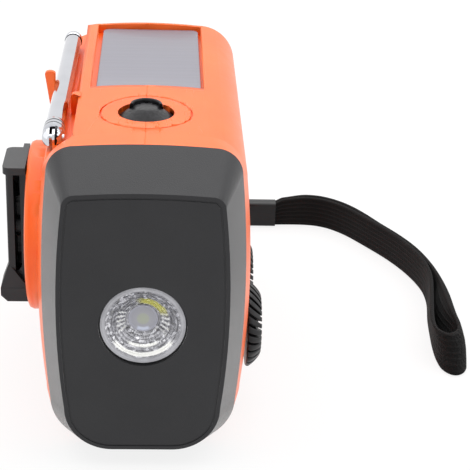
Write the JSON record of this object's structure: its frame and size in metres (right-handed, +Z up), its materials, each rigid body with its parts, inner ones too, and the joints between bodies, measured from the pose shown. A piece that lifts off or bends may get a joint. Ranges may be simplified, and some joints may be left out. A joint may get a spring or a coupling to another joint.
{
  "type": "hand crank weather radio",
  "caption": "Portable hand crank weather radio with lamp end cap, folding crank, telescopic antenna, solar panel, ribbed knobs and wrist strap",
  "frame": {"origin": "on the flat underside, below the middle of the case", "axes": "+X out of the knob side, +Y from the lamp end toward the port end, +Z up"},
  "size_m": [0.1224, 0.1394, 0.0789],
  "materials": {
    "case_orange": "satin moulded orange plastic",
    "dark_plastic": "fine-grained dark grey plastic",
    "black_plastic": "satin black plastic",
    "white_plastic": "natural acetal",
    "black_rubber": "matt soft rubber",
    "clear_lens": "clear moulded optic",
    "mirror_cup": "vacuum-metallised mirror",
    "led_yellow": "phosphor under clear silicone",
    "solar_face": "glossy encapsulated cells",
    "antenna_chrome": "bright chrome plating",
    "steel": "zinc-plated steel",
    "brass_parts": "turned brass",
    "circuit_board": "green solder resist",
    "speaker_paper": "pressed black paper",
    "battery_wrap": "shrink wrap",
    "ferrite": "sintered ferrite",
    "black_webbing": "woven nylon"
  },
  "bodies": {
    "case": {"back_case": "case_orange", "front_case": "case_orange", "lamp_end_cap": "dark_plastic", "lamp_lens": "clear_lens", "lamp_reflector": "mirror_cup", "lamp_led": "led_yellow", "led_board": "circuit_board", "button_switch": "black_plastic", "switch_board": "circuit_board", "solar_panel": "solar_face", "crank_bush": "brass_parts", "idler_axle": "steel", "gearbox_plate": "steel", "gearbox_screws": "steel", "generator": "steel", "antenna_mount": "antenna_chrome", "antenna_pin": "steel", "dial_window": "clear_lens", "tuning_capacitor": "white_plastic", "volume_pot": "steel", "band_switch_body": "steel", "main_board": "circuit_board", "board_screws": "steel", "speaker": "steel", "speaker_cone": "speaker_paper", "battery": "battery_wrap", "battery_holder": "black_plastic", "ferrite_rod": "ferrite", "port_board": "circuit_board", "usb_socket": "steel", "charge_socket": "steel", "case_screws": "steel", "strap_webbing": "black_webbing", "strap_ferrule": "black_plastic", "strap_cord": "black_webbing"},
    "button": {"lamp_button": "black_rubber"},
    "crank": {"crank_arm": "dark_plastic", "grip_pin": "steel", "crank_shaft": "steel", "crank_screw": "steel", "drive_gear": "white_plastic"},
    "grip_mount": {"grip_stem": "dark_plastic"},
    "grip": {"crank_grip": "black_plastic"},
    "idler": {"idler_gear": "white_plastic"},
    "rotor": {"generator_pinion": "brass_parts"},
    "antenna": {"antenna_knuckle": "antenna_chrome", "antenna_section_1": "antenna_chrome"},
    "antenna_2": {"antenna_section_2": "antenna_chrome"},
    "antenna_3": {"antenna_section_3": "antenna_chrome"},
    "antenna_4": {"antenna_section_4": "antenna_chrome"},
    "antenna_5": {"antenna_section_5": "antenna_chrome", "antenna_tip": "antenna_chrome"},
    "tuning": {"tuning_knob": "black_plastic", "tuning_spindle": "steel", "tuning_dial": "white_plastic"},
    "volume": {"volume_knob": "black_plastic", "volume_spindle": "steel"},
    "band": {"band_switch": "black_plastic"},
    "cover": {"port_cover": "black_rubber"}
  },
  "joints": [
    {"name": "button_press", "type": "slide", "parent": "case", "child": "button", "axis": [0, 0, -1], "range_m": [0, 0.001], "stiffness_N_per_m": 600},
    {"name": "crank_turn", "type": "hinge", "parent": "case", "child": "crank", "pos_m": [-0.0312, -0.017, 0.0438], "axis": [-1, 0, 0], "continuous": true},
    {"name": "grip_fold", "type": "hinge", "parent": "crank", "child": "grip_mount", "pos_m": [-0.0316, 0.02435, 0.02875], "axis": [0, -0.342, -0.9397], "range_deg": [0, 90]},
    {"name": "grip_spin", "type": "hinge", "parent": "grip_mount", "child": "grip", "pos_m": [-0.0316, 0.01025, 0.03388], "axis": [0, 0.9397, -0.342], "continuous": true},
    {"name": "idler_turn", "type": "hinge", "parent": "case", "child": "idler", "pos_m": [-0.018, -0.00147, 0.03251], "axis": [-1, 0, 0], "continuous": true},
    {"name": "rotor_turn", "type": "hinge", "parent": "case", "child": "rotor", "pos_m": [-0.015, 0.01517, 0.03485], "axis": [-1, 0, 0], "continuous": true},
    {"name": "antenna_tilt", "type": "hinge", "parent": "case", "child": "antenna", "pos_m": [-0.0206, -0.034, 0.0735], "axis": [1, 0, 0], "range_deg": [0, 90]},
    {"name": "antenna_slide_1", "type": "slide", "parent": "antenna", "child": "antenna_2", "axis": [0, 1, 0], "range_m": [0, 0.054]},
    {"name": "antenna_slide_2", "type": "slide", "parent": "antenna_2", "child": "antenna_3", "axis": [0, 1, 0], "range_m": [0, 0.054]},
    {"name": "antenna_slide_3", "type": "slide", "parent": "antenna_3", "child": "antenna_4", "axis": [0, 1, 0], "range_m": [0, 0.054]},
    {"name": "antenna_slide_4", "type": "slide", "parent": "antenna_4", "child": "antenna_5", "axis": [0, 1, 0], "range_m": [0, 0.054]},
    {"name": "tuning_turn", "type": "hinge", "parent": "case", "child": "tuning", "pos_m": [0.027, -0.026, 0.0215], "axis": [1, 0, 0], "range_deg": [-90, 90]},
    {"name": "volume_turn", "type": "hinge", "parent": "case", "child": "volume", "pos_m": [0.027, 0, 0.0215], "axis": [1, 0, 0], "range_deg": [0, 300]},
    {"name": "band_slide", "type": "slide", "parent": "case", "child": "band", "axis": [0, 1, 0], "range_m": [0, 0.006]},
    {"name": "cover_open", "type": "hinge", "parent": "case", "child": "cover", "pos_m": [-0.0139, 0.0569, 0.037], "axis": [0, 0, 1], "range_deg": [0, 110]}
  ],
  "couplings": [
    {"joint": "idler_turn", "follows": "crank_turn", "ratio": -3},
    {"joint": "rotor_turn", "follows": "crank_turn", "ratio": 7.5},
    {"joint": "antenna_slide_2", "follows": "antenna_slide_1", "ratio": 1},
    {"joint": "antenna_slide_3", "follows": "antenna_slide_1", "ratio": 1},
    {"joint": "antenna_slide_4", "follows": "antenna_slide_1", "ratio": 1}
  ]
}
